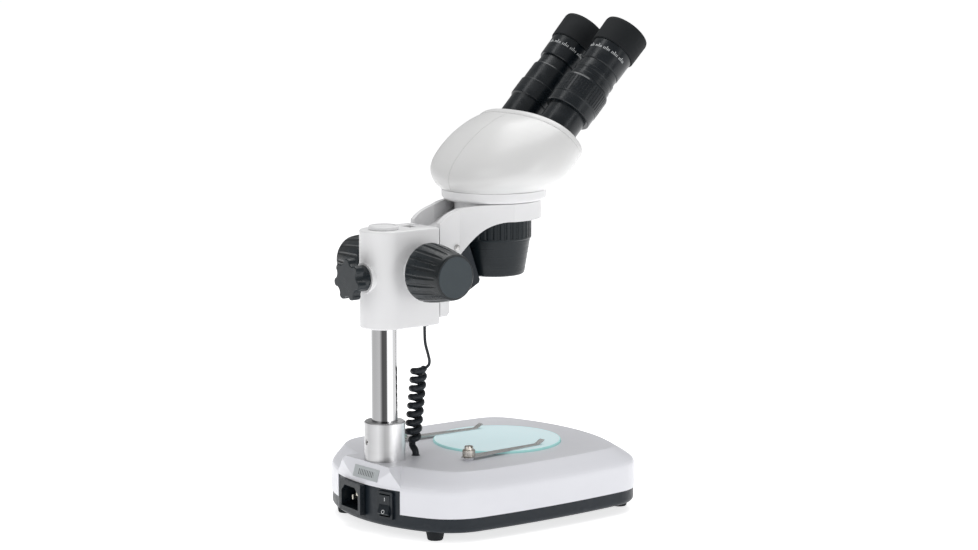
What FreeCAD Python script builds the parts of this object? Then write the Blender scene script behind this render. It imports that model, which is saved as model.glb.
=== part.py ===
import FreeCAD, Part
import os
from math import asin, cos, degrees, pi, radians, sin, sqrt, tan

# Stereo microscope on a pole stand. Millimetres, +Z up, the user sits on the -Y side.
# Everything is drawn about the pillar's axis; export() moves it to the part's frame,
# whose origin is the bottom centre of the whole instrument.
PILLAR_Y = 98.34

# Base
FEET_H = 6.8
TRAY_TOP_Z = 18.4
COVER_TOP_Z = 52.6
COVER_WALL = 3.0
TRAY_INSET, TRAY_WALL, TRAY_FLOOR = 0.7, 3.0, 3.0
REAR_ARCH_R, REAR_Y = 130.0, 21.5
SHOULDER_IN, SHOULDER_DOWN = 6.5, 12.0
PAD_Y, PAD_FOOT_Z = -3.0, 38.5
PAD_REAR_FOOT, PAD_REAR_TOP = (21.25, 38.5), (16.8, 52.6)
PANEL_HALF_W, PANEL_TOP_Z = 39.6, 36.3
FOOT_X, FOOT_REAR_Y, FOOT_FRONT_Y = 57.4, -4.3, -185.9
INLET_X, SWITCH_X, DEVICE_Z = 12.0, -26.5, 24.0

# Pillar and stage
PILLAR_R, PILLAR_BOTTOM_Z, PILLAR_TOP_Z = 10.0, 40.0, 229.2
SLEEVE_R, SLEEVE_BOTTOM_Z, SLEEVE_TOP_Z = 15.6, 52.6, 82.3
OPTIC_Y = -105.7
PLATE_R, PLATE_T, PLATE_TOP_Z, PLATE_Y = 50.0, 6.0, 54.3, -109.0
CLIP_X, CLIP_Y = 43.0, -47.5
LEAF_Z, LEAF_T = 54.6, 0.6

# Focus block and arm
BLOCK_HALF_W, BLOCK_FRONT_Y = 18.5, -38.4
BLOCK_BOTTOM_Z, BLOCK_TOP_Z = 154.5, 229.0
BUSH_WALL = 1.2
KNOB_Y, KNOB_Z = -18.7, 198.1
CLAMP_Z, CLAMP_FACE_Y = 193.5, 19.0
MODULE, PINION_TEETH = 0.7, 14
ARM_REAR_Y = -39.2
ARM_RING_R, ARM_RING_BOTTOM_Z, ARM_TOP_Z = 36.6, 229.8, 243.4
SPIGOT_R = 25.9

# Head, turret and eyepieces
HEAD_RING_R, HEAD_RING_BOTTOM_Z, HEAD_RING_TOP_Z = 40.6, 244.2, 252.0
TURRET_R, TURRET_BOTTOM_Z, TAPER_TOP_Z, TURRET_TOP_Z = 29.2, 185.7, 213.6, 229.3
TUBE_X = 25.0
EYE_Y, EYE_Z, TUBE_TILT = -203.9, 353.6, 45.0
EXIT_S = -86.0
TUBE_R = 16.0

# Free cord between the focus block and the base
LEAD_D, TAIL_D, COIL_D = 2.3, 3.0, 11.2

V = FreeCAD.Vector
X_AXIS = V(1, 0, 0)
Z_AXIS = V(0, 0, 1)
EYE_AXIS = V(0, -sin(radians(TUBE_TILT)), cos(radians(TUBE_TILT)))
nodes = {}
os.makedirs("parts", exist_ok=True)


def box(x0, x1, y0, y1, z0, z1):
    return Part.makeBox(x1 - x0, y1 - y0, z1 - z0, V(x0, y0, z0))


def cyl(r, z0, z1, x=0.0, y=0.0):
    return Part.makeCylinder(r, z1 - z0, V(x, y, z0), Z_AXIS)


def rod(r, p, q):
    return Part.makeCylinder(r, (q - p).Length, p, q - p)


def turned(profile, at, axis):
    """Solid of revolution: profile is a closed loop of (radius, distance along the axis)."""
    pts = [V(r, 0, h) for r, h in profile]
    face = Part.Face(Part.makePolygon(pts + pts[:1]))
    solid = face.revolve(V(0, 0, 0), Z_AXIS, 360)
    solid.Placement = FreeCAD.Placement(at, FreeCAD.Rotation(Z_AXIS, axis))
    return solid


def prism_yz(points, x0, x1):
    pts = [V(x0, y, z) for y, z in points]
    return Part.Face(Part.makePolygon(pts + pts[:1])).extrude(V(x1 - x0, 0, 0))


def prism_xy(points, z0, z1):
    pts = [V(x, y, z0) for x, y in points]
    return Part.Face(Part.makePolygon(pts + pts[:1])).extrude(V(0, 0, z1 - z0))


def spline(points):
    curve = Part.BSplineCurve()
    curve.interpolate(points)
    return curve.toShape()


def mirrored(shape):
    return shape.mirror(V(0, 0, 0), V(1, 0, 0))


def both(shape):
    return Part.makeCompound([shape, mirrored(shape)])


def placed(shape, placement):
    shape = shape.copy()
    shape.Placement = placement.multiply(shape.Placement)
    return shape


def edges_where(shape, test):
    return [e for e in shape.Edges if test(e)]


def level_edges(shape, z):
    """Edges that lie in the horizontal plane at height z."""
    return edges_where(shape, lambda e: abs(e.BoundBox.ZMin - z) < 0.02
                       and abs(e.BoundBox.ZMax - z) < 0.02)


def export(name, shape):
    solids = [s for s in shape.Solids if s.Volume > 1e-3]
    out = solids[0] if len(solids) == 1 else Part.makeCompound(solids)
    out = out.copy()
    out.translate(V(0, PILLAR_Y, 0))
    if not out.isValid():
        print("INVALID", name)
    out.exportStep("parts/%s.step" % name)
    nodes[name] = out


# ------------------------------------------------------------------ base


def base_outline(inset, z):
    """Plan of the base: tangent arcs from the middle of the rear to the middle of the front."""
    at, heading = V(0, REAR_Y - inset, z), 0.0
    half = []
    for radius, turn in [(REAR_ARCH_R, 28.3), (42.7, 56.4), (760.0, 10.5), (32.2, 58.7),
                         (None, None)]:
        if radius is None:
            turn = 180.0 - degrees(heading)
            radius = at.x / sin(radians(turn)) + inset
        radius = radius - inset
        centre = at + V(-sin(heading), -cos(heading), 0) * radius
        angles = [heading + radians(turn) * k for k in (0.0, 0.5, 1.0)]
        half.append([centre + V(sin(a), cos(a), 0) * radius for a in angles])
        at, heading = half[-1][2], angles[2]
    half[-1][2].x = 0.0
    edges = [Part.Arc(*points).toShape() for points in half]
    for points in reversed(half):
        edges.append(Part.Arc(*[V(-p.x, p.y, p.z) for p in reversed(points)]).toShape())
    return Part.Wire(edges)


def base_block(inset, z0, z1):
    return Part.Face(base_outline(inset, z0)).extrude(V(0, 0, z1 - z0))


def shouldered(inset, z0, z1):
    """Base block with a sloping shoulder, widest at the front and softened where it starts."""
    wires = [base_outline(inset, z0)]
    crease = z1 - SHOULDER_DOWN
    for z, share in [(crease - 4, 0.0), (crease - 2, 0.02), (crease, 0.08), (crease + 2, 0.19),
                     (crease + 4, 0.33), (z1 - 0.7, 0.93), (z1, 1.05)]:
        wire = base_outline(inset + SHOULDER_IN * share, z)
        drawn_in = FreeCAD.Matrix()
        drawn_in.scale(1, 1 - 0.107 * share, 1)
        drawn_in.move(V(0, -5.9 * share, 0))
        wires.append(wire.transformGeometry(drawn_in))
    return Part.makeLoft(wires, True, True)


def device_frame(x):
    """Frame of a rear panel device: local x along the panel, local y out of it, z up."""
    tilt = asin(x / REAR_ARCH_R)
    out = V(sin(tilt), cos(tilt), 0)
    at = V(0, REAR_Y - REAR_ARCH_R, DEVICE_Z) + out * (REAR_ARCH_R - TRAY_INSET + 0.02)
    return FreeCAD.Placement(at, FreeCAD.Rotation(Z_AXIS, degrees(-tilt)))


def peninsula(half_w, z):
    """Plan of the raised pad under the sleeve: half round in front, straight to the rear."""
    front = V(0, PAD_Y - half_w, z)
    right, left = V(half_w, PAD_Y, z), V(-half_w, PAD_Y, z)
    rear_r, rear_l = V(half_w, REAR_Y + 10, z), V(-half_w, REAR_Y + 10, z)
    return Part.Wire([
        Part.Arc(left, front, right).toShape(),
        Part.LineSegment(right, rear_r).toShape(),
        Part.LineSegment(rear_r, rear_l).toShape(),
        Part.LineSegment(rear_l, left).toShape(),
    ])


inlet_place = device_frame(INLET_X)
switch_place = device_frame(SWITCH_X)

cover = shouldered(0.0, TRAY_TOP_Z, COVER_TOP_Z)
cover = cover.cut(shouldered(COVER_WALL, TRAY_TOP_Z - 1, COVER_TOP_Z - COVER_WALL))
mound = Part.makeLoft([peninsula(40.6, PAD_FOOT_Z), peninsula(28.0, SLEEVE_BOTTOM_Z)], True, True)
mound = mound.common([base_block(0.2, PAD_FOOT_Z, SLEEVE_BOTTOM_Z)])
mound = mound.common(prism_yz([(-60, PAD_FOOT_Z), PAD_REAR_FOOT, PAD_REAR_TOP,
                               (-60, SLEEVE_BOTTOM_Z)], -50, 50))
mound = mound.cut(mound.translated(V(0, -COVER_WALL, -COVER_WALL - 0.5)))
pillar_socket = cyl(16.0, PILLAR_BOTTOM_Z - 3.0, COVER_TOP_Z - 1)
seat_ring = cyl(PLATE_R + 4.0, COVER_TOP_Z - 8.0, COVER_TOP_Z - 1, 0, PLATE_Y)
clip_bosses = both(cyl(4.5, COVER_TOP_Z - 11, COVER_TOP_Z - 1, CLIP_X, CLIP_Y))
cord_entry = V(-4.5, -26.0, SLEEVE_BOTTOM_Z)
clip_pads = both(cyl(3.6, COVER_TOP_Z - 1, LEAF_Z - 0.05, CLIP_X, CLIP_Y))
cover = cover.fuse([mound, pillar_socket, seat_ring, clip_bosses, clip_pads])
cover = cover.cut([
    cyl(PLATE_R + 0.3, PLATE_TOP_Z - PLATE_T, 60, 0, PLATE_Y),
    cyl(PLATE_R - 5.0, 20, 60, 0, PLATE_Y),
    cyl(PILLAR_R + 0.05, PILLAR_BOTTOM_Z, 60),
    cyl(4.2, 30, 60),
    cyl(3.2, 40, 60, cord_entry.x, cord_entry.y),
    both(cyl(2.05, COVER_TOP_Z - 9, 60, CLIP_X, CLIP_Y)),
    box(-PANEL_HALF_W, PANEL_HALF_W, 5, 40, 10, PANEL_TOP_Z),
])
export("base_cover", cover)

tray = base_block(TRAY_INSET, FEET_H, TRAY_TOP_Z - 0.1)
tray = tray.makeFillet(4.0, level_edges(tray, FEET_H))
hollow = base_block(TRAY_INSET + TRAY_WALL, FEET_H + TRAY_FLOOR, PANEL_TOP_Z + 1)
upstand = base_block(TRAY_INSET, TRAY_TOP_Z - 1, PANEL_TOP_Z - 0.3)
upstand = upstand.common(box(-PANEL_HALF_W + 0.2, PANEL_HALF_W - 0.2, 8, 40, 0, 60))
posts = Part.makeCompound([cyl(5.0, FEET_H + 1, FEET_H + 8, x, y) for x in (-FOOT_X, FOOT_X)
                           for y in (FOOT_REAR_Y, FOOT_FRONT_Y)])
lamp_posts = [cyl(3.0, FEET_H + 1, 27.0, 22 * cos(a), PLATE_Y + 22 * sin(a))
              for a in (0.5, 2.6, 4.7)]
board_posts = [cyl(2.5, FEET_H + 1, 14.0, x, y) for x in (-49, -27) for y in (-59, -25)]
tray = tray.fuse(upstand).cut(hollow)
tray = tray.fuse([posts] + lamp_posts + board_posts)
tray = tray.cut([
    placed(box(-13.8, 13.8, -12, 12, -10.0, 10.0), inlet_place),
    placed(box(-6.5, 6.5, -12, 12, -9.6, 9.6), switch_place),
])
feet, foot_screws = [], []
for x in (-FOOT_X, FOOT_X):
    for y in (FOOT_REAR_Y, FOOT_FRONT_Y):
        at = V(x, y, 0)
        tray = tray.cut(cyl(1.65, 0, 30, x, y))
        feet.append(turned([(2.0, 2.8), (3.6, 2.8), (3.6, 0), (5.4, 0), (5.9, 0.6), (7.0, 6.0),
                            (7.0, FEET_H), (2.0, FEET_H)], at, Z_AXIS))
        foot_screws.append(turned([(0, 0.9), (2.6, 0.9), (3.2, 1.5), (3.2, 2.75), (1.6, 2.75),
                                   (1.6, 13.0), (0, 13.0)], at, Z_AXIS))
export("base_tray", tray)
export("rubber_feet", Part.makeCompound(feet))
export("foot_screws", Part.makeCompound(foot_screws))

# Mains inlet: flange with a six-sided socket and three flat pins
hexagon = [(-12.2, -8.4), (12.2, -8.4), (12.2, 3.6), (7.4, 8.4), (-7.4, 8.4), (-12.2, 3.6)]
socket = Part.Face(Part.makePolygon([V(x, -9.8, z) for x, z in hexagon + hexagon[:1]]))
socket = socket.extrude(V(0, 30, 0))
inlet = box(-15.5, 15.5, 0, 4.2, -12.0, 12.0)
inlet = inlet.makeFillet(1.0, edges_where(inlet, lambda e: e.BoundBox.YLength > 1))
inlet = inlet.fuse(box(-13.7, 13.7, -11.8, 0.1, -9.9, 9.9)).cut(socket)
export("inlet_body", placed(inlet, inlet_place))
pins = [box(x - 1.0, x + 1.0, -9.8, -2, z - 2.0, z + 2.0) for x, z in ((-7, -2), (7, -2), (0, 2))]
pins = [p.makeChamfer(0.45, edges_where(p, lambda e: abs(e.BoundBox.YMin + 2) < 0.01
                                        and e.BoundBox.YLength < 0.01)) for p in pins]
inlet_pins = placed(Part.makeCompound(pins), inlet_place)
export("inlet_pins", inlet_pins)

# Rocker switch
PIVOT = V(0, -1.5, 0)
frame = box(-7.5, 7.5, 0, 2.0, -10.5, 10.5)
frame = frame.makeFillet(0.9, edges_where(frame, lambda e: e.BoundBox.YLength > 1))
frame = frame.fuse(box(-6.4, 6.4, -13, 0.1, -9.5, 9.5))
frame = frame.cut(box(-5.3, 5.3, -11.5, 3, -8.7, 8.7))
export("switch_frame", placed(frame, switch_place))
rocker = rod(8.55, V(-5.15, PIVOT.y, 0), V(5.15, PIVOT.y, 0))
rocker = rocker.common(box(-6, 6, PIVOT.y - 5.5, 9, -9, 9))
for side in (1, -1):
    wedge = Part.Face(Part.makePolygon([V(-7, 2.2, 0), V(-7, 4.2, side * 10),
                                        V(-7, 12, side * 10), V(-7, 12, 0), V(-7, 2.2, 0)]))
    rocker = rocker.cut(wedge.extrude(V(14, 0, 0)))
rocker = rocker.rotated(PIVOT, V(1, 0, 0), 10.0)
export("switch_rocker", placed(rocker, switch_place))

# Blank label on the rear face of the pad
pad_rise = V(0, PAD_REAR_TOP[0] - PAD_REAR_FOOT[0], PAD_REAR_TOP[1] - PAD_REAR_FOOT[1])
pad_out = X_AXIS.cross(pad_rise).normalize() * -1.0
label_middle = V(-2.5, PAD_REAR_FOOT[0], PAD_REAR_FOOT[1]) + pad_rise * 0.42 + pad_out * 0.02
label = box(-15.5, 15.5, 0, 0.3, -4.6, 4.6)
label_at = FreeCAD.Placement(label_middle, FreeCAD.Rotation(Z_AXIS.cross(X_AXIS), pad_out))
export("rating_label", placed(label, label_at))

# ---------------------------------------------------------------- pillar

column = cyl(PILLAR_R, PILLAR_BOTTOM_Z, PILLAR_TOP_Z)
column = column.makeChamfer(0.6, level_edges(column, PILLAR_TOP_Z))
column = column.cut([cyl(6.9, PILLAR_TOP_Z - 12, PILLAR_TOP_Z + 1), cyl(4.02, 30, 62)])
export("pillar", column)
export("pillar_cap", turned([
    (0, PILLAR_TOP_Z - 10), (6.85, PILLAR_TOP_Z - 10), (6.85, PILLAR_TOP_Z),
    (11.5, PILLAR_TOP_Z), (11.5, PILLAR_TOP_Z + 2.2), (10.9, PILLAR_TOP_Z + 2.8),
    (9.3, PILLAR_TOP_Z + 2.8), (8.9, PILLAR_TOP_Z + 2.0), (0, PILLAR_TOP_Z + 2.0),
], V(0, 0, 0), Z_AXIS))
export("pillar_bolt", turned([(0, 31.4), (6.5, 31.4), (6.5, 36.9), (4.0, 36.9), (4.0, 58), (0, 58)],
                             V(0, 0, 0), Z_AXIS))
sleeve = cyl(SLEEVE_R, SLEEVE_BOTTOM_Z, SLEEVE_TOP_Z).cut(cyl(PILLAR_R + 0.05, 50, 90))
sleeve = sleeve.makeChamfer(0.8, edges_where(sleeve, lambda e: abs(e.BoundBox.ZMin - SLEEVE_TOP_Z)
                                             < 0.01 and e.BoundBox.XLength > 30))
screw_dir = V(cos(radians(82)), sin(radians(82)), 0)
screw_at = V(0, 0, 67.0)
sleeve = sleeve.cut(rod(2.05, screw_at, screw_at + screw_dir * 20))
export("pillar_sleeve", sleeve)
set_screw = rod(2.0, screw_at + screw_dir * (PILLAR_R + 0.1), screw_at + screw_dir * 15.0)
set_screw = set_screw.cut(rod(1.0, screw_at + screw_dir * 13.0, screw_at + screw_dir * 16.0))
export("sleeve_set_screw", set_screw)

# ----------------------------------------------------------------- stage

plate = cyl(PLATE_R, PLATE_TOP_Z - PLATE_T, PLATE_TOP_Z, 0, PLATE_Y)
plate = plate.makeChamfer(0.5, level_edges(plate, PLATE_TOP_Z))
export("stage_plate", plate)

leaf_plan = [(-4.5, 3.0), (-4.5, -6.0), (-2.6, -77.0), (2.6, -77.0), (4.5, -6.0), (4.5, 3.0),
             (2.5, 5.5), (-2.5, 5.5)]
leaf_side = [(6, LEAF_Z), (-30, LEAF_Z), (-64, PLATE_TOP_Z + 0.1), (-70, PLATE_TOP_Z + 0.1),
             (-76, PLATE_TOP_Z + 3.2), (-76, PLATE_TOP_Z + 3.8), (-70, PLATE_TOP_Z + 0.7),
             (-64, PLATE_TOP_Z + 0.7), (-30, LEAF_Z + LEAF_T), (6, LEAF_Z + LEAF_T)]
leaf = prism_xy(leaf_plan, 50, 62)
leaf = leaf.common(prism_yz(leaf_side, -10, 10)).cut(cyl(2.1, 50, 60))
thumb = [(0, 46), (2.0, 46), (2.0, LEAF_Z + LEAF_T + 0.05), (4.3, LEAF_Z + LEAF_T + 0.05),
         (4.9, LEAF_Z + 1.2), (4.9, LEAF_Z + 5.6), (4.4, LEAF_Z + 6.2), (3.4, LEAF_Z + 6.2),
         (3.4, LEAF_Z + 8.4), (2.9, LEAF_Z + 8.9), (0, LEAF_Z + 8.9)]
knurl_count = 28
for side, name in ((-1, "left"), (1, "right")):
    turn = FreeCAD.Rotation(Z_AXIS, side * -3.5)
    at = V(side * CLIP_X, CLIP_Y, 0)
    export("stage_clip_%s" % name, placed(leaf, FreeCAD.Placement(at, turn)))
    screw = turned(thumb, V(0, 0, 0), Z_AXIS)
    grooves = [box(-0.16, 0.16, 4.55, 6, LEAF_Z + 1, LEAF_Z + 6.0).rotated(
        V(0, 0, 0), Z_AXIS, 360.0 * k / knurl_count) for k in range(knurl_count)]
    screw = screw.cut(grooves + [box(-6, 6, -0.5, 0.5, LEAF_Z + 7.6, LEAF_Z + 10)])
    export("clip_screw_%s" % name, screw.translated(at))

# Illuminator and supply inside the base
lamp_board = cyl(30.0, 27.0, 28.6, 0, PLATE_Y)
lamps = [cyl(2.5, 28.0, 31.6, 18 * cos(k * pi / 4), PLATE_Y + 18 * sin(k * pi / 4))
         for k in range(8)]
export("lamp_board", lamp_board.fuse(lamps))
supply = box(-52, -24, -62, -22, 14.0, 15.6)
export("supply_board", supply.fuse([box(-50, -28, -56, -32, 15.0, 33.0),
                                    cyl(5.0, 15.0, 28.0, -33, -27.5)]))

# ----------------------------------------------------------- focus block


def gear(teeth, module, r_root, width):
    """Spur gear about local z with straight-flanked teeth, one tooth centred on +x."""
    r_pitch = module * teeth / 2.0
    pitch = 2 * pi / teeth
    points = []
    for k in range(teeth):
        for r, half in ((r_root, 0.27), (r_pitch, 0.19), (r_pitch + 0.85 * module, 0.10)):
            points.append((r, (k - half) * pitch))
        for r, half in ((r_pitch + 0.85 * module, 0.10), (r_pitch, 0.19), (r_root, 0.27)):
            points.append((r, (k + half) * pitch))
    return prism_xy([(r * cos(a), r * sin(a)) for r, a in points], 0, width)


bush_r = PILLAR_R + 0.04 + BUSH_WALL
block_plan = Part.Wire([
    Part.Arc(V(-BLOCK_HALF_W, 0, 0), V(0, BLOCK_HALF_W, 0), V(BLOCK_HALF_W, 0, 0)).toShape(),
    Part.LineSegment(V(BLOCK_HALF_W, 0, 0), V(BLOCK_HALF_W, BLOCK_FRONT_Y, 0)).toShape(),
    Part.LineSegment(V(BLOCK_HALF_W, BLOCK_FRONT_Y, 0),
                     V(-BLOCK_HALF_W, BLOCK_FRONT_Y, 0)).toShape(),
    Part.LineSegment(V(-BLOCK_HALF_W, BLOCK_FRONT_Y, 0), V(-BLOCK_HALF_W, 0, 0)).toShape(),
])
block_plan.translate(V(0, 0, BLOCK_BOTTOM_Z))
block = Part.Face(block_plan).extrude(V(0, 0, BLOCK_TOP_Z - BLOCK_BOTTOM_Z))
block = block.makeFillet(1.4, level_edges(block, BLOCK_TOP_Z) + level_edges(block, BLOCK_BOTTOM_Z))
SHAFT_BOSS_R, SHAFT_BOSS_X = 14.0, 29.4
knob_at = V(0, KNOB_Y, KNOB_Z)
for side in (1, -1):
    block = block.fuse(rod(SHAFT_BOSS_R, knob_at + X_AXIS * side * 12,
                           knob_at + X_AXIS * side * SHAFT_BOSS_X))
block = block.fuse(rod(11.5, V(0, 12, CLAMP_Z), V(0, CLAMP_FACE_Y, CLAMP_Z)))
DOVE_NECK, DOVE_WIDE, DOVE_BACK_Y = 7.0, 10.0, -29.0
slot = [(-DOVE_NECK - 0.05, -45), (-DOVE_NECK - 0.05, -33.5), (-DOVE_WIDE - 0.05, DOVE_BACK_Y),
        (-5.5, DOVE_BACK_Y), (-5.5, -20.5), (5.5, -20.5), (5.5, DOVE_BACK_Y),
        (DOVE_WIDE + 0.05, DOVE_BACK_Y), (DOVE_NECK + 0.05, -33.5), (DOVE_NECK + 0.05, -45)]
cord_exit = V(-13.5, -28.1, BLOCK_BOTTOM_Z - 0.5)
stud_hole = rod(3.05, V(0, 5, CLAMP_Z), V(0, 30, CLAMP_Z))
block = block.cut([
    cyl(bush_r + 0.03, 140, 240),
    prism_xy(slot, 150, 240),
    rod(3.04, knob_at - X_AXIS * 40, knob_at + X_AXIS * 40),
    rod(6.0, knob_at - X_AXIS * 7.0, knob_at + X_AXIS * 7.0),
    stud_hole,
    cyl(2.6, 140, 170, cord_exit.x, cord_exit.y),
])
export("focus_block", block)

bush = cyl(bush_r, BLOCK_BOTTOM_Z + 0.5, BLOCK_TOP_Z - 0.5)
bush = bush.cut(cyl(PILLAR_R + 0.04, 140, 240))
export("pillar_bush", bush)
export("block_cord_bush", turned([
    (1.0, BLOCK_BOTTOM_Z - 0.5), (3.2, BLOCK_BOTTOM_Z - 0.5), (3.2, BLOCK_BOTTOM_Z),
    (2.55, BLOCK_BOTTOM_Z), (2.55, BLOCK_BOTTOM_Z + 8), (1.0, BLOCK_BOTTOM_Z + 8),
], V(cord_exit.x, cord_exit.y, 0), Z_AXIS))
# Clamp knob at the rear of the block, on its stud
star_y0, star_y1 = CLAMP_FACE_Y + 9.2, CLAMP_FACE_Y + 16.0
hub = rod(9.8, V(0, CLAMP_FACE_Y + 0.3, CLAMP_Z), V(0, star_y0, CLAMP_Z))
lobed = rod(14.2, V(0, star_y0, CLAMP_Z), V(0, star_y1, CLAMP_Z))
lobes = [rod(3.9, V(12.2 * cos(a), star_y0, CLAMP_Z + 12.2 * sin(a)),
             V(12.2 * cos(a), star_y1, CLAMP_Z + 12.2 * sin(a)))
         for a in [pi / 2 + 2 * pi * k / 7 for k in range(7)]]
star = lobed.fuse(lobes + [hub])
valleys = [rod(4.6, V(17.2 * cos(a), star_y0 - 1, CLAMP_Z + 17.2 * sin(a)),
               V(17.2 * cos(a), star_y1 + 1, CLAMP_Z + 17.2 * sin(a)))
           for a in [pi / 2 + 2 * pi * (k + 0.5) / 7 for k in range(7)]]
star = star.cut(valleys).removeSplitter()
star = star.makeFillet(1.0, edges_where(star, lambda e: abs(e.BoundBox.YMin - star_y1) < 0.01
                                        and e.BoundBox.YLength < 0.01))
star = star.cut(rod(2.5, V(0, CLAMP_FACE_Y, CLAMP_Z), V(0, star_y1 - 3, CLAMP_Z)))
export("clamp_knob", star)
stud = rod(3.0, V(0, 11.4, CLAMP_Z), V(0, CLAMP_FACE_Y + 0.25, CLAMP_Z))
stud = stud.fuse(rod(2.5, V(0, CLAMP_FACE_Y, CLAMP_Z), V(0, star_y1 - 3, CLAMP_Z)))
export("clamp_stud", stud)

# Focus shaft, pinion and knobs
SHAFT_END_X = 58.0
shaft = rod(3.0, knob_at - X_AXIS * SHAFT_END_X, knob_at + X_AXIS * SHAFT_END_X)
export("focus_shaft", shaft)
pinion = gear(PINION_TEETH, MODULE, MODULE * PINION_TEETH / 2 - 1.0 * MODULE, 10.0)
pinion = pinion.cut(cyl(3.0, -1, 11)).translated(V(0, 0, -5))
pinion.Placement = FreeCAD.Placement(knob_at, FreeCAD.Rotation(
    V(0, 0, 1), V(0, -1, 0), X_AXIS, "XZY")).multiply(pinion.Placement)
export("focus_pinion", pinion)
knob_profile = [
    (3.0, 0), (13.5, 0), (13.5, 2.0), (16.0, 2.0), (16.0, 0), (20.6, 0), (22.1, 0.8),
    (22.5, 2.6), (22.2, 7.0), (21.3, 14.0), (19.9, 22.0), (18.2, 30.0), (17.3, 33.4),
    (16.4, 34.3), (15.7, 34.3), (15.7, 33.5), (3.0, 33.5),
]
KNOB_START_X = 30.0
FLUTES = 20
knob = turned(knob_profile, V(0, 0, 0), Z_AXIS)
flutes = []
for k in range(FLUTES):
    a = 2 * pi * k / FLUTES
    p, q = V(24.0, 0, 1.0), V(19.6, 0, 31.0)
    cut = rod(1.9, p, q).fuse(Part.makeSphere(1.9, q))
    flutes.append(cut.rotated(V(0, 0, 0), Z_AXIS, degrees(a)))
knob = knob.cut(flutes)
cap = turned([(0, 33.5), (15.6, 33.5), (15.6, 34.5), (15.2, 34.9), (0, 34.9)], V(0, 0, 0), Z_AXIS)
knob_caps = []
for side, name in ((-1, "left"), (1, "right")):
    place = FreeCAD.Placement(knob_at + X_AXIS * side * KNOB_START_X,
                              FreeCAD.Rotation(Z_AXIS, X_AXIS * side))
    export("focus_knob_%s" % name, placed(knob, place))
    knob_caps.append(placed(cap, place))
export("knob_caps", Part.makeCompound(knob_caps))

# ------------------------------------------------------------------- arm


def arm_plan(r, half_w, y0):
    """Plan of the arm: straight sides that run tangent into the ring, then the round end."""
    tangent_y = OPTIC_Y + 8.0
    x_t = sqrt(r * r - 64.0)
    return Part.Wire([
        Part.LineSegment(V(-half_w, y0, 0), V(half_w, y0, 0)).toShape(),
        Part.LineSegment(V(half_w, y0, 0), V(half_w, -58, 0)).toShape(),
        Part.LineSegment(V(half_w, -58, 0), V(x_t, tangent_y, 0)).toShape(),
        Part.Arc(V(x_t, tangent_y, 0), V(0, OPTIC_Y - r, 0), V(-x_t, tangent_y, 0)).toShape(),
        Part.LineSegment(V(-x_t, tangent_y, 0), V(-half_w, -58, 0)).toShape(),
        Part.LineSegment(V(-half_w, -58, 0), V(-half_w, y0, 0)).toShape(),
    ])


plan = arm_plan(ARM_RING_R, BLOCK_HALF_W, ARM_REAR_Y)
body = Part.Face(plan).extrude(V(0, 0, 300))
top_curve = spline([V(-60, y, z) for y, z in [
    (ARM_REAR_Y, 231.6), (-46.4, 237.0), (-57.9, 241.2), (-68, 242.8), (-80, ARM_TOP_Z)]])
arch_curve = spline([V(-60, y, z) for y, z in [
    (-51.0, 191.0), (-54.3, 199.8), (-60.3, 208.6), (-67.2, 216.8), (-77.1, 225.1),
    (-86.9, 228.9), (-97, ARM_RING_BOTTOM_Z)]])
far = OPTIC_Y - 60
side_view = Part.Wire(Part.__sortEdges__([
    top_curve,
    Part.LineSegment(V(-60, -80, ARM_TOP_Z), V(-60, far, ARM_TOP_Z)).toShape(),
    Part.LineSegment(V(-60, far, ARM_TOP_Z), V(-60, far, ARM_RING_BOTTOM_Z)).toShape(),
    Part.LineSegment(V(-60, far, ARM_RING_BOTTOM_Z), V(-60, -97, ARM_RING_BOTTOM_Z)).toShape(),
    arch_curve,
    Part.LineSegment(V(-60, -51.0, 191.0), V(-60, -48.1, 180.0)).toShape(),
    Part.LineSegment(V(-60, -48.1, 180.0), V(-60, -48.1, 162.8)).toShape(),
    Part.LineSegment(V(-60, -48.1, 162.8), V(-60, -45.5, 160.2)).toShape(),
    Part.LineSegment(V(-60, -45.5, 160.2), V(-60, ARM_REAR_Y, 160.2)).toShape(),
    Part.LineSegment(V(-60, ARM_REAR_Y, 160.2), V(-60, ARM_REAR_Y, 231.6)).toShape(),
]))
arm = body.common(Part.Face(side_view).extrude(V(120, 0, 0)))
valley_plan = Part.Face(arm_plan(ARM_RING_R - 4.5, BLOCK_HALF_W - 4.5, -30)).extrude(V(0, 0, 300))
valley_side = prism_yz([(-30, 222.5), (-52, 225.5), (-66, 231.0), (-76, 234.0), (-92, 236.0),
                        (-92, 260), (-30, 260)], -60, 60)
valley = valley_plan.common(valley_side)
ring_boss = cyl(SPIGOT_R + 4.6, ARM_RING_BOTTOM_Z, ARM_TOP_Z, 0, OPTIC_Y)
arm = arm.cut(valley).fuse(ring_boss.common(body))
arm = arm.cut([
    cyl(SPIGOT_R + 0.06, 200, 260, 0, OPTIC_Y),
    cyl(TURRET_R + 0.8, 200, ARM_RING_BOTTOM_Z, 0, OPTIC_Y),
    both(rod(1.25, V(BLOCK_HALF_W - 7, -55.2, 212.0), V(40, -55.2, 212.0))),
])
export("arm", arm)

dovetail = prism_xy([(-DOVE_NECK, ARM_REAR_Y), (-DOVE_NECK, -33.5), (-DOVE_WIDE + 0.1, -29.1),
                     (DOVE_WIDE - 0.1, -29.1), (DOVE_NECK, -33.5), (DOVE_NECK, ARM_REAR_Y)],
                    160.2, 228.5)
export("dovetail_slide", dovetail)

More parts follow.
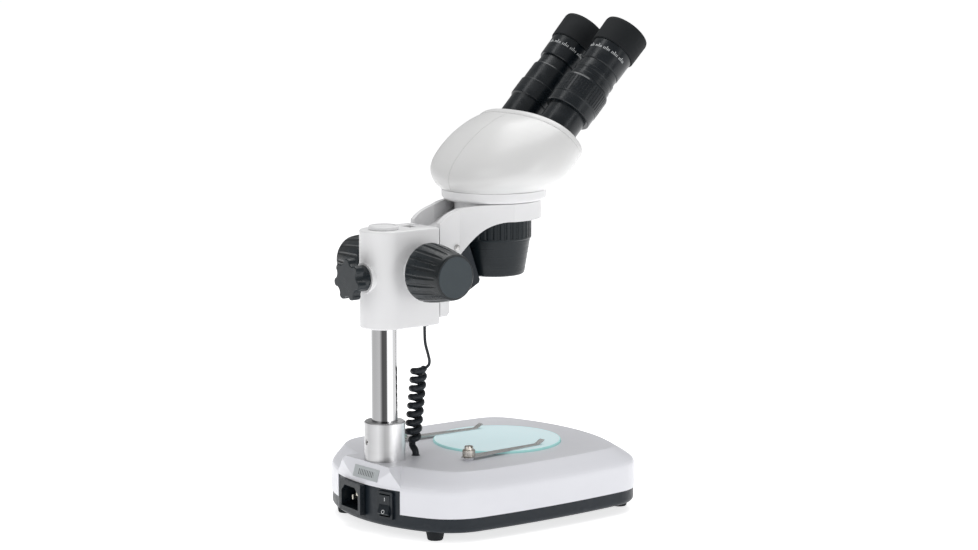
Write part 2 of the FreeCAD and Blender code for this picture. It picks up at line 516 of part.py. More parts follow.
rack_pitch = pi * MODULE
rack_y = KNOB_Y - MODULE * PINION_TEETH / 2.0
rack_half = 3.5
RACK_BOTTOM_Z, RACK_TOP_Z = 172.0, 226.5
teeth = []
first = int((RACK_BOTTOM_Z + 2 - KNOB_Z) / rack_pitch)
last = int((RACK_TOP_Z - 2 - KNOB_Z) / rack_pitch)
for k in range(first, last):
    z = KNOB_Z + k * rack_pitch
    half_root, half_tip = 0.30 * rack_pitch, 0.11 * rack_pitch
    teeth.append(prism_yz([(rack_y - MODULE - 0.2, z - half_root),
                           (rack_y + 0.8 * MODULE, z - half_tip),
                           (rack_y + 0.8 * MODULE, z + half_tip),
                           (rack_y - MODULE - 0.2, z + half_root)], -rack_half, rack_half))
rack = box(-rack_half, rack_half, -29.1, rack_y - MODULE, RACK_BOTTOM_Z, RACK_TOP_Z).fuse(teeth)
export("focus_rack", rack)

# Incident lamp under the arm
LAMP_HALF_W = 14.0
lamp_profile = [(-48.9, 179.0), (-51.6, 192.3), (-52.6, 195.2), (-60.0, 207.0), (-67.0, 215.3),
                (-71.2, 213.0), (-81.6, 184.6), (-80.8, 182.0), (-62.0, 171.9)]
housing = prism_yz(lamp_profile, -LAMP_HALF_W, LAMP_HALF_W)
housing = housing.makeFillet(1.2, edges_where(housing, lambda e: e.BoundBox.XLength < 0.1))
lamp_dir = V(0, -8.9, -16.6)
lamp_dir.normalize()
lamp_face = V(0, -70.3, 178.1)
housing = housing.cut(rod(6.5, lamp_face + lamp_dir * -6.5, lamp_face + lamp_dir * 10))
export("lamp_housing", housing)
export("lamp_lens", turned([(0, -2.2), (6.4, -2.2), (6.4, -0.4), (4.0, 0.5), (0, 0.8)],
                           lamp_face, lamp_dir))
export("arm_screws", both(turned([(0, -6), (1.2, -6), (1.2, 0.02), (2.6, 0.02), (2.3, 1.1),
                                  (1.3, 1.7), (0, 1.8)],
                                 V(BLOCK_HALF_W, -55.2, 212.0), X_AXIS)))

# ---------------------------------------------------------------- turret

axis_at = V(0, OPTIC_Y, 0)
ring = turned([(20.1, TAPER_TOP_Z + 4), (20.1, TURRET_TOP_Z), (28.4, TURRET_TOP_Z),
               (TURRET_R, TURRET_TOP_Z - 0.8), (TURRET_R, TAPER_TOP_Z + 0.6),
               (28.7, TAPER_TOP_Z + 0.05), (22.6, TAPER_TOP_Z + 0.05), (22.6, TAPER_TOP_Z + 4)],
              axis_at, Z_AXIS)
RING_FLUTES = 36
grooves = []
for k in range(RING_FLUTES):
    a = 2 * pi * k / RING_FLUTES
    p = axis_at + V(cos(a), sin(a), 0) * (TURRET_R + 0.75)
    grooves.append(cyl(1.5, TAPER_TOP_Z + 1.6, TURRET_TOP_Z + 1, p.x, p.y))
export("turret_ring", ring.cut(grooves))
taper = turned([(0, TURRET_BOTTOM_Z), (22.2, TURRET_BOTTOM_Z), (23.5, TURRET_BOTTOM_Z + 0.9),
                (24.0, TURRET_BOTTOM_Z + 2.6), (28.2, TAPER_TOP_Z), (22.5, TAPER_TOP_Z),
                (22.5, TAPER_TOP_Z + 3.95), (20.2, TAPER_TOP_Z + 3.95), (20.2, TURRET_BOTTOM_Z + 5),
                (0, TURRET_BOTTOM_Z + 5)], axis_at, Z_AXIS)
LENS_OFFSET = 11.5
low_at = [V(LENS_OFFSET * s, OPTIC_Y, TURRET_BOTTOM_Z) for s in (-1, 1)]
high_at = [V(0, OPTIC_Y + LENS_OFFSET * s, TURRET_BOTTOM_Z) for s in (-1, 1)]
for at in low_at + high_at:
    taper = taper.cut(rod(7.0, at - Z_AXIS, at + Z_AXIS * 8))


def objective(at, r_glass):
    """Lens mount with its glass recessed from the front."""
    mount = turned([(r_glass, 0.6), (7.2, 0.6), (7.2, 9.0), (r_glass, 9.0)], at, Z_AXIS)
    glass = turned([(0, 1.4), (r_glass - 0.02, 2.0), (r_glass - 0.02, 4.4), (0, 5.2)], at, Z_AXIS)
    return mount, glass


objectives = [objective(at, 5.4) for at in low_at] + [objective(at, 4.4) for at in high_at]
export("turret_body", taper.fuse([mount for mount, glass in objectives]))
export("objective_lenses", Part.makeCompound([glass for mount, glass in objectives]))

# ------------------------------------------------------------------ head

export("head_ring", turned([
    (17.0, 219.0), (20.0, 219.0), (20.0, 229.6), (SPIGOT_R, 229.6),
    (SPIGOT_R, HEAD_RING_BOTTOM_Z), (HEAD_RING_R - 2.6, HEAD_RING_BOTTOM_Z),
    (HEAD_RING_R - 0.3, HEAD_RING_BOTTOM_Z + 1.7), (HEAD_RING_R, HEAD_RING_BOTTOM_Z + 3.0),
    (HEAD_RING_R, HEAD_RING_TOP_Z - 0.3), (HEAD_RING_R - 0.4, HEAD_RING_TOP_Z),
    (17.0, HEAD_RING_TOP_Z)], axis_at, Z_AXIS))

EXIT_AT = V(0, EYE_Y, EYE_Z) + EYE_AXIS * EXIT_S
FACE_UP = V(0, cos(radians(TUBE_TILT)), sin(radians(TUBE_TILT)))
SHELL_WALL = 3.0
SEAM_GAP, BEZEL_DEPTH = 0.12, 5.0


def face_section(below, up, down, half_w):
    """Section parallel to the face that the tubes leave by, at a distance below it."""
    centre = EXIT_AT - EYE_AXIS * below
    rear, front = centre + FACE_UP * up, centre - FACE_UP * down
    return (rear.y, rear.z), (front.y, front.z), half_w, 2.4


# Rear point, front point, half width and super-ellipse power. Each section lies in the plane
# through its rear and front points, at right angles to the y-z plane.
HEAD_SECTIONS = [
    ((-66.0, 252.05), (-145.4, 252.05), 39.6, 2.1),
    ((-61.6, 259.5), (-148.6, 254.2), 49.5, 2.15),
    ((-63.6, 269.0), (-151.4, 256.9), 56.2, 2.2),
    ((-73.0, 281.5), (-154.2, 260.1), 58.8, 2.25),
    ((-87.0, 293.5), (-156.8, 263.6), 58.6, 2.3),
    ((-104.0, 303.6), (-158.9, 267.0), 57.4, 2.35),
    face_section(BEZEL_DEPTH, 28.1, 28.4, 56.2),
]
BEZEL_SECTIONS = [
    face_section(BEZEL_DEPTH - 0.2, 28.1, 28.4, 56.2),
    face_section(1.4, 27.5, 28.2, 55.2),
    face_section(0.0, 26.6, 27.3, 54.0),
]


def half_section(section, inset, gap):
    """Points round the +x half of a section, from its rear point to its front point."""
    rear, front, half_w, power = section
    r, f = V(0, rear[0], rear[1]), V(0, front[0], front[1])
    centre, along = (r + f) * 0.5, (r - f) * 0.5
    reach = along.Length - inset
    along.normalize()
    points = []
    for k in range(15):
        c, s = cos(pi * k / 14), abs(sin(pi * k / 14))
        x = (half_w - inset) * s ** (2.0 / power) + gap
        w = reach * abs(c) ** (2.0 / power) * (1 if c >= 0 else -1)
        points.append(centre + X_AXIS * x + along * w)
    return points


def wall_wire(section):
    """Closed wire round the wall of the +x half shell at a section."""
    out, inside = half_section(section, 0.0, SEAM_GAP), half_section(section, SHELL_WALL, SEAM_GAP)
    return Part.Wire([spline(out), Part.LineSegment(out[-1], inside[-1]).toShape(),
                      spline(inside[::-1]), Part.LineSegment(inside[0], out[0]).toShape()])


def full_wire(section):
    half = half_section(section, 0.0, 0.0)
    return Part.Wire([spline(half), spline([V(-p.x, p.y, p.z) for p in half[::-1]])])


def slot_solid(centre, half, r, thickness):
    """Plate of slot plan at right angles to the tubes, grown along them from its centre."""
    up = FACE_UP * r
    right, left = centre + X_AXIS * half, centre - X_AXIS * half
    wire = Part.Wire([
        Part.LineSegment(left + up, right + up).toShape(),
        Part.Arc(right + up, right + X_AXIS * r, right - up).toShape(),
        Part.LineSegment(right - up, left - up).toShape(),
        Part.Arc(left - up, left - X_AXIS * r, left + up).toShape(),
    ])
    return Part.Face(wire).extrude(EYE_AXIS * thickness)


shell = Part.makeLoft([wall_wire(section) for section in HEAD_SECTIONS], True, False)
export("head_shell_right", shell)
export("head_shell_left", mirrored(shell))
bezel = Part.makeLoft([full_wire(section) for section in BEZEL_SECTIONS], True, False)
export("head_bezel", bezel.cut(slot_solid(EXIT_AT - EYE_AXIS * 6, 31.0, 19.5, 12.0)))


def eye_point(x, s):
    return V(x, EYE_Y, EYE_Z) + EYE_AXIS * s


def along_eye(profile, x):
    return turned(profile, eye_point(x, 0), EYE_AXIS)


def prism_block(x):
    """Prism case on the lower end of a tube, and the prism in it."""
    s1 = EXIT_S - 14.0
    frame = FreeCAD.Placement(eye_point(x, s1), FreeCAD.Rotation(X_AXIS, FACE_UP, EYE_AXIS, "ZXY"))
    case = Part.makeBox(26, 26, 20, V(-13, -13, -20)).cut([
        Part.makeBox(22, 22, 16.1, V(-11, -11, -16.1)), Part.makeCylinder(9, 30, V(0, 0, -25))])
    glass = Part.makeBox(21.6, 21.6, 15.2, V(-10.8, -10.8, -15.9))
    glass = glass.makeChamfer(5.0, edges_where(glass, lambda e: e.BoundBox.XLength > 20))
    return placed(case, frame), placed(glass, frame)


BARREL_R = 12.0
tube_bore = 12.05
LEFT_X, RIGHT_X = -TUBE_X, TUBE_X
tube_foot = EXIT_S - 14.5
left_tube = along_eye([(10, tube_foot), (TUBE_R, tube_foot), (TUBE_R, -48.2), (15.0, -47.2),
                       (14.05, -47.2), (14.05, -68.0), (10, -68.0)], LEFT_X)
right_tube = along_eye([
    (10, tube_foot), (TUBE_R, tube_foot), (TUBE_R, -61.0), (17.2, -60.2), (17.4, -59.8),
    (17.4, -46.0), (16.9, -45.4), (16.6, -45.2), (16.6, -29.2), (16.2, -28.4), (15.4, -27.8),
    (15.0, -19.2), (tube_bore, -19.2), (tube_bore, -52.0), (10, -52.0)], RIGHT_X)
for x, name, tube_solid, drop in ((LEFT_X, "left", left_tube, 4.0),
                                  (RIGHT_X, "right", right_tube, 5.6)):
    case, prism = prism_block(x)
    middle = V(x * 0.65, EYE_Y, EYE_Z) + EYE_AXIS * (EXIT_S - drop - 1.2)
    shutter = slot_solid(middle, 7.4, 17.3, 1.2)
    shutter = shutter.cut(rod(TUBE_R - 0.5, eye_point(x, EXIT_S - 20), eye_point(x, EXIT_S + 10)))
    export("eye_tube_%s" % name, tube_solid.fuse([case, shutter]).removeSplitter())
    export("prism_%s" % name, prism)

dioptre = along_eye([(16.05, -64.3), (18.6, -64.3), (19.2, -63.7), (19.2, -55.6), (19.6, -54.9),
                     (19.6, -38.6), (19.0, -37.2), (18.0, -36.3), (15.3, -36.3), (15.3, -43.4),
                     (16.05, -43.4)], LEFT_X)
RIBS = 44
rib_cuts = []
for k in range(RIBS):
    a = 2 * pi * k / RIBS
    side = X_AXIS * cos(a) + FACE_UP * sin(a)
    rib_cuts.append(rod(0.62, eye_point(LEFT_X, -53.8) + side * 19.85,
                        eye_point(LEFT_X, -39.4) + side * 19.85))
export("dioptre_ring", dioptre.cut(rib_cuts))
export("dioptre_sleeve", along_eye([
    (13.95, -64.0), (13.95, -43.3), (15.2, -43.3), (15.2, -36.2), (17.4, -36.2), (17.6, -35.6),
    (17.6, -32.4), (16.9, -31.8), (16.9, -28.6), (17.2, -28.2), (17.2, -25.6), (16.4, -25.0),
    (16.2, -19.2), (tube_bore, -19.2), (tube_bore, -64.0)], LEFT_X))

for x, name in ((LEFT_X, "left"), (RIGHT_X, "right")):
    export("eyepiece_%s" % name, along_eye([
        (10.6, -50.0), (BARREL_R, -50.0), (BARREL_R, -19.1), (16.4, -19.1), (16.9, -18.5),
        (17.2, -1.0), (17.2, -0.1), (16.2, -0.1), (16.2, 12.5), (12.0, 15.0), (12.0, 9.6),
        (10.6, 9.6)], x))
    eye_lens = along_eye([(0, 10.6), (11.95, 9.7), (11.95, 14.0), (0, 15.6)], x)
    field_lens = along_eye([(0, -47.0), (10.55, -46.0), (10.55, -43.0), (0, -41.8)], x)
    export("eyepiece_lenses_%s" % name, Part.makeCompound([eye_lens, field_lens]))
    export("eyecup_%s" % name, along_eye([
        (16.25, -0.05), (18.0, -0.05), (18.5, 0.5), (18.7, 9.0), (18.9, 19.3), (18.5, 20.8),
        (17.3, 21.3), (15.2, 20.9), (13.4, 19.0), (12.6, 17.2), (16.25, 12.6)], x))

# ------------------------------------------------------------------ cord


def rounded_path(points):
    """Straight runs joined by tangent arcs as large as the runs allow."""
    edges, here, radii = [], points[0], []
    for i in range(1, len(points) - 1):
        back, on = points[i - 1] - points[i], points[i + 1] - points[i]
        cut = 0.45 * min(back.Length, on.Length)
        half_turn = (pi - back.getAngle(on)) / 2.0
        back.normalize()
        on.normalize()
        start, end = points[i] + back * cut, points[i] + on * cut
        radius = cut / tan(half_turn)
        bisector = back + on
        bisector.normalize()
        centre = points[i] + bisector * (radius / cos(half_turn))
        edges.append(Part.LineSegment(here, start).toShape())
        edges.append(Part.Arc(start, centre - bisector * radius, end).toShape())
        radii.append(radius)
        here = end
    edges.append(Part.LineSegment(here, points[-1]).toShape())
    return Part.Wire(edges), radii


def tube(name, points, diameter):
    path, radii = rounded_path(points)
    ring = Part.Wire(Part.makeCircle(diameter / 2.0, points[0], points[1] - points[0]))
    solid = path.makePipeShell([ring], True, True)
    ratio = solid.Volume / (pi * diameter ** 2 / 4 * path.Length)
    print("%s length %.2f volume ratio %.4f radii %s"
          % (name, path.Length, ratio, ["%.1f" % r for r in radii]))
    export(name, solid)


COIL_TOP, COIL_BOTTOM = V(-7.6, -27.2, 121.0), V(-0.5, -25.8, 62.5)
coil_dir = (COIL_BOTTOM - COIL_TOP).normalize()
tube("cord_lead", [cord_exit, cord_exit - Z_AXIS * 12.0, V(-14.6, -30.6, 130.5),
                   COIL_TOP - coil_dir * 4.5 + V(-2.6, -1.4, 0), COIL_TOP + V(-3.3, -1.7, 0.9)],
     LEAD_D)
export("cord_coil", rod(COIL_D / 2.0, COIL_TOP, COIL_BOTTOM))
tube("cord_tail", [COIL_BOTTOM, COIL_BOTTOM + coil_dir * 3.2,
                   cord_entry + Z_AXIS * 3.8,
                   cord_entry + Z_AXIS * 0.61], TAIL_D)
export("base_cord_bush", turned([
    (1.3, SLEEVE_BOTTOM_Z - 9), (3.15, SLEEVE_BOTTOM_Z - 9), (3.15, SLEEVE_BOTTOM_Z + 0.02),
    (3.4, SLEEVE_BOTTOM_Z + 0.02), (2.8, SLEEVE_BOTTOM_Z + 0.6), (1.3, SLEEVE_BOTTOM_Z + 0.6),
], V(cord_entry.x, cord_entry.y, 0), Z_AXIS))

whole = Part.makeCompound([s for n, s in nodes.items() if not n.startswith("cord_")])
bounds = whole.optimalBoundingBox()
print("nodes %d" % len(nodes))
print("x %.2f..%.2f  y %.2f..%.2f  z %.2f..%.2f" % (
    bounds.XMin, bounds.XMax, bounds.YMin, bounds.YMax, bounds.ZMin, bounds.ZMax))
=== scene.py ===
"""Looks of a stereo microscope on a pole stand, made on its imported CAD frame. Metres."""
import math

import bmesh
import bpy
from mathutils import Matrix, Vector
from mathutils.bvhtree import BVHTree


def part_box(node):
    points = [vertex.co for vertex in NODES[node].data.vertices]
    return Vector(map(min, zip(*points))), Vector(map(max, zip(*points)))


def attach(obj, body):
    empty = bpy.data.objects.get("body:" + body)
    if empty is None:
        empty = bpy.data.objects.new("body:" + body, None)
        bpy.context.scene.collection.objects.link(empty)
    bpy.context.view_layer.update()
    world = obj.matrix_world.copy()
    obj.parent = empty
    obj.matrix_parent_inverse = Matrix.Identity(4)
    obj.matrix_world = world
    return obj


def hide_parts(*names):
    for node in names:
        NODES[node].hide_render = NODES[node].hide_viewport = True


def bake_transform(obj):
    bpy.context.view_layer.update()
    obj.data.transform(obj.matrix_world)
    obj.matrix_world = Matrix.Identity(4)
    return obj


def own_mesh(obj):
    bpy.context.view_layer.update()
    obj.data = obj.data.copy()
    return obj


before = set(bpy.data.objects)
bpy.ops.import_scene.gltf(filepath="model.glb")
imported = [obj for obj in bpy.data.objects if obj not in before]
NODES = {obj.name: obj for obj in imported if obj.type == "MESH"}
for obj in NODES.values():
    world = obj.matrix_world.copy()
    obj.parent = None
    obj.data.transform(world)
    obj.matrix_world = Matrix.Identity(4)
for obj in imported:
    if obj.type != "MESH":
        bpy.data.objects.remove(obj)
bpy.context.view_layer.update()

MM = 0.001
X = Vector((1, 0, 0))
Z = Vector((0, 0, 1))
PILLAR_Y = 0.09834
PLATE_AT = Vector((0, PILLAR_Y - 0.1090, 0))
EYE_AXIS = Vector((0, -1, 1)).normalized()
FACE_UP = Vector((0, 1, 1)).normalized()
EYE_POINT = Vector((0, PILLAR_Y - 0.2039, 0.3536))
TUBE_X = 0.025
KNOB_AT = Vector((0, PILLAR_Y - 0.0187, 0.1981))


PICTURE_RIGHT = Vector((-0.620, -0.785, 0))
# Painted reflection: the light and dark bands of a studio, painted into the colour of the bright round
# pieces as (place, grey) stops from left to right as the camera sees them.
CHROME_PAINTED_REFLECTION = [(0.0, 0.50), (0.08, 0.30), (0.34, 0.34), (0.44, 0.055), (0.60, 0.07), (0.66, 0.97),
                (0.78, 0.90), (0.86, 0.45), (1.0, 0.50)]
SLEEVE_PAINTED_REFLECTION = [(0.0, 0.55), (0.12, 0.42), (0.36, 0.60), (0.52, 0.36), (0.60, 0.42), (0.76, 0.97),
                (0.90, 0.90), (1.0, 0.85)]


# ------------------------------------------------------------- materials


class Finish:
    """A node material about one Principled shader, with short names for what it needs."""

    def __init__(self, name, colour, roughness, metallic=0.0, **inputs):
        self.material = bpy.data.materials.new(name)
        self.material.use_nodes = True
        self.tree = self.material.node_tree
        self.bsdf = self.tree.nodes["Principled BSDF"]
        self.set("Base Color", (*colour, 1.0))
        self.set("Roughness", roughness)
        self.set("Metallic", metallic)
        for key, value in inputs.items():
            self.set(key.replace("_", " "), value)
        self.place = self.add("ShaderNodeTexCoord").outputs["Object"]
        self.normal = None

    def add(self, kind, **settings):
        node = self.tree.nodes.new(kind)
        for key, value in settings.items():
            setattr(node, key, value)
        return node

    def put(self, value, socket):
        """A socket is linked, and a number or a colour is set."""
        if isinstance(value, bpy.types.NodeSocket):
            self.tree.links.new(value, socket)
        else:
            socket.default_value = value

    def set(self, name, value):
        self.put(value, self.bsdf.inputs[name])

    def math(self, operation, a, b=0.0, c=0.0):
        node = self.add("ShaderNodeMath", operation=operation)
        for value, socket in zip((a, b, c), node.inputs):
            self.put(value, socket)
        return node.outputs[0]

    def spread(self, value, low, high, to_low=0.0, to_high=1.0):
        node = self.add("ShaderNodeMapRange", interpolation_type="SMOOTHSTEP")
        for v, socket in zip((value, low, high, to_low, to_high), node.inputs):
            self.put(v, socket)
        return node.outputs[0]

    def share(self, value, low, high):
        """The value's place between low and high, from 0 to 1."""
        return self.math("DIVIDE", self.math("SUBTRACT", value, low), high - low)

    def stretched(self, factors):
        node = self.add("ShaderNodeMapping")
        self.put(self.place, node.inputs["Vector"])
        node.inputs["Scale"].default_value = factors
        return node.outputs[0]

    def noise(self, scale, detail=3.0, factors=None):
        node = self.add("ShaderNodeTexNoise")
        self.put(self.stretched(factors) if factors else self.place, node.inputs["Vector"])
        node.inputs["Scale"].default_value = scale
        node.inputs["Detail"].default_value = detail
        return node.outputs["Fac"]

    def mix(self, factor, a, b):
        node = self.add("ShaderNodeMix", data_type="RGBA")
        self.put(factor, node.inputs[0])
        for value, socket in ((a, node.inputs[6]), (b, node.inputs[7])):
            self.put(value if isinstance(value, bpy.types.NodeSocket) else (*value, 1.0), socket)
        return node.outputs[2]

    def bump(self, height, distance, strength=1.0):
        node = self.add("ShaderNodeBump")
        self.put(height, node.inputs["Height"])
        node.inputs["Distance"].default_value = distance
        node.inputs["Strength"].default_value = strength
        if self.normal is not None:
            self.put(self.normal, node.inputs["Normal"])
        self.normal = node.outputs[0]
        self.set("Normal", self.normal)

    def along(self, origin, direction):
        """Distance of the surface point from origin along a direction."""
        away = self.add("ShaderNodeVectorMath", operation="SUBTRACT")
        self.put(self.place, away.inputs[0])
        away.inputs[1].default_value = origin
        dot = self.add("ShaderNodeVectorMath", operation="DOT_PRODUCT")
        self.put(away.outputs[0], dot.inputs[0])
        dot.inputs[1].default_value = direction
        return dot.outputs["Value"]

    def radius(self, origin, side, up):
        a, b = self.along(origin, side), self.along(origin, up)
        return self.math("SQRT", self.math("ADD", self.math("MULTIPLY", a, a),
                                           self.math("MULTIPLY", b, b)))

    def bands(self, across, stops):
        """Greys along a value that runs from 0 to 1, blended between (place, grey) stops."""
        node = self.add("ShaderNodeValToRGB")
        self.put(across, node.inputs[0])
        elements = node.color_ramp.elements
        elements[0].position, elements[1].position = stops[0][0], stops[-1][0]
        for place, _ in stops[1:-1]:
            elements.new(place)
        for element, (_, grey) in zip(elements, stops):
            element.color = (grey, grey, grey * 1.01, 1.0)
        return node.outputs[0]

    def turning_marks(self, distance, axis_factors, scale, depth):
        """Fine lines left by a lathe or by polishing, across the given axis."""
        lines = self.noise(scale, 4.0, axis_factors)
        self.bump(lines, distance, depth)
        return lines


def white_paint():
    """Sprayed satin enamel: a fine orange peel, with faint handling marks."""
    f = Finish("white_paint", (0.79, 0.79, 0.80), 0.42, Coat_Weight=0.15, Coat_Roughness=0.3)
    cloud = f.noise(14.0, 4.0)
    f.set("Base Color", f.mix(f.spread(cloud, 0.35, 0.7), (0.775, 0.775, 0.785), (0.805, 0.805, 0.81)))
    f.set("Roughness", f.spread(f.noise(60.0, 3.0), 0.3, 0.75, 0.36, 0.5))
    f.bump(f.noise(2600.0, 2.0), 0.00003, 0.35)
    return f.material


def white_moulding(name, dull, clean):
    """Satin moulded plastic with a spark-eroded grain and a little flow."""
    f = Finish(name, clean, 0.34, Coat_Weight=0.25, Coat_Roughness=0.22,
               Subsurface_Weight=0.04, Subsurface_Radius=(0.002, 0.002, 0.002))
    flow = f.noise(9.0, 5.0, (1.0, 1.0, 2.5))
    f.set("Base Color", f.mix(f.spread(flow, 0.3, 0.72), dull, clean))
    f.set("Roughness", f.spread(f.noise(45.0, 4.0), 0.3, 0.75, 0.3, 0.43))
    f.bump(f.noise(1800.0, 3.0), 0.00002, 0.3)
    return f.material


def cover_moulding():
    return white_moulding("cover_moulding", (0.74, 0.745, 0.785), (0.77, 0.775, 0.815))


def head_moulding():
    return white_moulding("head_moulding", (0.70, 0.70, 0.698), (0.73, 0.73, 0.725))


def black_moulding():
    """Black plastic tray: a slight blue cast, fine grain and dust in the hollows."""
    f = Finish("black_moulding", (0.010, 0.015, 0.021), 0.36, Specular_IOR_Level=0.3)
    dust = f.spread(f.noise(130.0, 6.0), 0.6, 0.85)
    f.set("Base Color", f.mix(dust, (0.009, 0.014, 0.020), (0.022, 0.028, 0.034)))
    f.set("Roughness", f.spread(f.noise(300.0, 3.0), 0.3, 0.7, 0.30, 0.44))
    f.bump(f.noise(2200.0, 2.0), 0.00004, 0.4)
    return f.material


def device_plastic():
    """Smoother black plastic of the inlet and the switch."""
    f = Finish("device_plastic", (0.008, 0.012, 0.016), 0.33, Specular_IOR_Level=0.32)
    f.set("Base Color", f.mix(f.noise(90.0, 5.0), (0.006, 0.009, 0.013), (0.013, 0.018, 0.023)))
    f.set("Roughness", f.spread(f.noise(400.0, 3.0), 0.3, 0.7, 0.27, 0.42))
    f.bump(f.noise(1500.0, 2.0), 0.00002, 0.3)
    return f.material


def knob_plastic():
    """Black knobs, painted lighter on the ribs and darker in the flutes: a painted highlight and
    painted shade.
    """
    f = Finish("knob_plastic", (0.006, 0.010, 0.013), 0.3, Specular_IOR_Level=0.45)
    rib_highlight_flute_shade = f.spread(f.radius(KNOB_AT, (0, 1, 0), (0, 0, 1)), 0.0185, 0.0225)
    # painted highlight and shade: the colour gets lighter with distance from the knob's axis, so the
    # ribs are lighter and the flutes darker
    f.set("Base Color", f.mix(rib_highlight_flute_shade, (0.004, 0.007, 0.009), (0.009, 0.014, 0.018)))
    f.set("Roughness", f.math("ADD", f.spread(f.noise(160.0, 4.0), 0.3, 0.7, 0.0, 0.12), 0.26))
    f.bump(f.noise(1200.0, 3.0), 0.00001, 0.25)
    return f.material


def slate_cap():
    """Slate-grey disc let into the end of each knob, finely turned."""
    f = Finish("slate_cap", (0.036, 0.048, 0.056), 0.42, Specular_IOR_Level=0.35)
    f.set("Base Color", f.mix(f.noise(80.0, 5.0), (0.032, 0.043, 0.050), (0.042, 0.055, 0.063)))
    rings = f.math("SINE", f.math("MULTIPLY", f.radius(KNOB_AT, (0, 1, 0), (0, 0, 1)), 14000.0))
    f.bump(rings, 0.000012, 0.3)
    return f.material


def black_anodised():
    """Black anodised aluminium with lathe lines across its axis."""
    f = Finish("black_anodised", (0.007, 0.011, 0.014), 0.34, 0.1, Specular_IOR_Level=0.35)
    lines = f.turning_marks(0.00002, (3.0, 3.0, 220.0), 6.0, 0.35)
    f.set("Roughness", f.spread(lines, 0.3, 0.7, 0.27, 0.42))
    f.set("Base Color", f.mix(f.noise(70.0, 5.0), (0.005, 0.009, 0.012), (0.010, 0.015, 0.019)))
    return f.material


def tube_anodised():
    """The same finish on the inclined tubes, with its lines across their axis."""
    f = Finish("tube_anodised", (0.005, 0.008, 0.011), 0.28, 0.1, Specular_IOR_Level=0.5)
    along = f.along(EYE_POINT, EYE_AXIS)
    lines = f.add("ShaderNodeTexNoise", noise_dimensions="1D")
    f.put(f.math("MULTIPLY", along, 5200.0), lines.inputs["W"])
    lines.inputs["Scale"].default_value = 1.0
    f.bump(lines.outputs["Fac"], 0.00002, 0.3)
    f.set("Roughness", f.spread(f.noise(140.0, 5.0), 0.3, 0.7, 0.2, 0.33))
    f.set("Base Color", f.mix(f.noise(60.0, 5.0), (0.003, 0.006, 0.008), (0.007, 0.010, 0.014)))
    return f.material


def rubber(name, shade):
    """Matt rubber with a bloom of dust."""
    f = Finish(name, (shade, shade * 1.25, shade * 1.5), 0.7, Specular_IOR_Level=0.25)
    bloom = f.spread(f.noise(55.0, 7.0), 0.42, 0.78)
    f.set("Base Color", f.mix(bloom, (shade, shade * 1.25, shade * 1.5),
                              (shade * 1.8, shade * 2.1, shade * 2.4)))
    f.bump(f.noise(1900.0, 4.0), 0.00006, 0.5)
    return f.material


def across_round(f, node):
    """From 0 to 1 across a round upright piece, as the camera sees it from left to right."""
    box_low, box_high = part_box(node)
    radius = (box_high[0] - box_low[0]) / 2
    return f.share(f.along((0, PILLAR_Y, 0), PICTURE_RIGHT), -radius, radius)


def chromed_steel():
    """Hard-chromed column, polished, with light wipe marks; its colour is a painted reflection of a
    studio's light and dark bands.
    """
    f = Finish("chromed_steel", (0.62, 0.63, 0.64), 0.12, 1.0)
    # painted reflection: the studio's light and dark bands are laid into the base colour across the
    # column
    f.set("Base Color", f.bands(across_round(f, "pillar"), CHROME_PAINTED_REFLECTION))
    lines = f.turning_marks(0.000008, (2.0, 2.0, 160.0), 9.0, 0.25)
    wipes = f.noise(30.0, 5.0, (1.0, 1.0, 0.25))
    f.set("Roughness", f.math("ADD", f.spread(lines, 0.3, 0.7, 0.09, 0.13),
                              f.spread(wipes, 0.5, 0.8, 0.0, 0.07)))
    return f.material


def turned_aluminium():
    """Satin anodised aluminium with fine turning lines round the upright axis; its colour is a painted
    reflection of a studio's light and dark bands.
    """
    f = Finish("turned_aluminium", (0.70, 0.70, 0.71), 0.34, 0.9)
    lines = f.turning_marks(0.00003, (2.0, 2.0, 320.0), 6.0, 0.35)
    f.set("Roughness", f.spread(lines, 0.3, 0.7, 0.28, 0.42))
    # painted reflection: the studio's light and dark bands are laid into the base colour across the
    # sleeve, and the slide takes them too
    f.set("Base Color", f.bands(across_round(f, "pillar_sleeve"), SLEEVE_PAINTED_REFLECTION))
    return f.material


def brushed_steel():
    """Spring steel and screws: short brush lines and small stains."""
    f = Finish("brushed_steel", (0.60, 0.60, 0.60), 0.3, 1.0)
    lines = f.turning_marks(0.00002, (160.0, 12.0, 60.0), 8.0, 0.3)
    f.set("Roughness", f.spread(lines, 0.3, 0.7, 0.22, 0.38))
    f.set("Base Color", f.mix(f.noise(250.0, 5.0), (0.52, 0.51, 0.50), (0.66, 0.66, 0.65)))
    return f.material


def nickel_plate():
    """Warm, bright plating of the knurled thumb screws."""
    f = Finish("nickel_plate", (0.66, 0.63, 0.58), 0.2, 1.0)
    tarnish = f.spread(f.noise(420.0, 5.0), 0.45, 0.75)
    f.set("Base Color", f.mix(tarnish, (0.70, 0.67, 0.62), (0.50, 0.46, 0.40)))
    f.set("Roughness", f.spread(tarnish, 0.0, 1.0, 0.16, 0.34))
    f.bump(f.noise(3000.0, 2.0), 0.00001, 0.3)
    return f.material


def plated_brass():
    """Nickelled brass, pale with a trace of yellow."""
    f = Finish("plated_brass", (0.74, 0.72, 0.66), 0.28, 1.0)
    f.set("Base Color", f.mix(f.noise(300.0, 5.0), (0.78, 0.76, 0.70), (0.64, 0.60, 0.50)))
    f.bump(f.noise(2500.0, 2.0), 0.00001, 0.3)
    return f.material


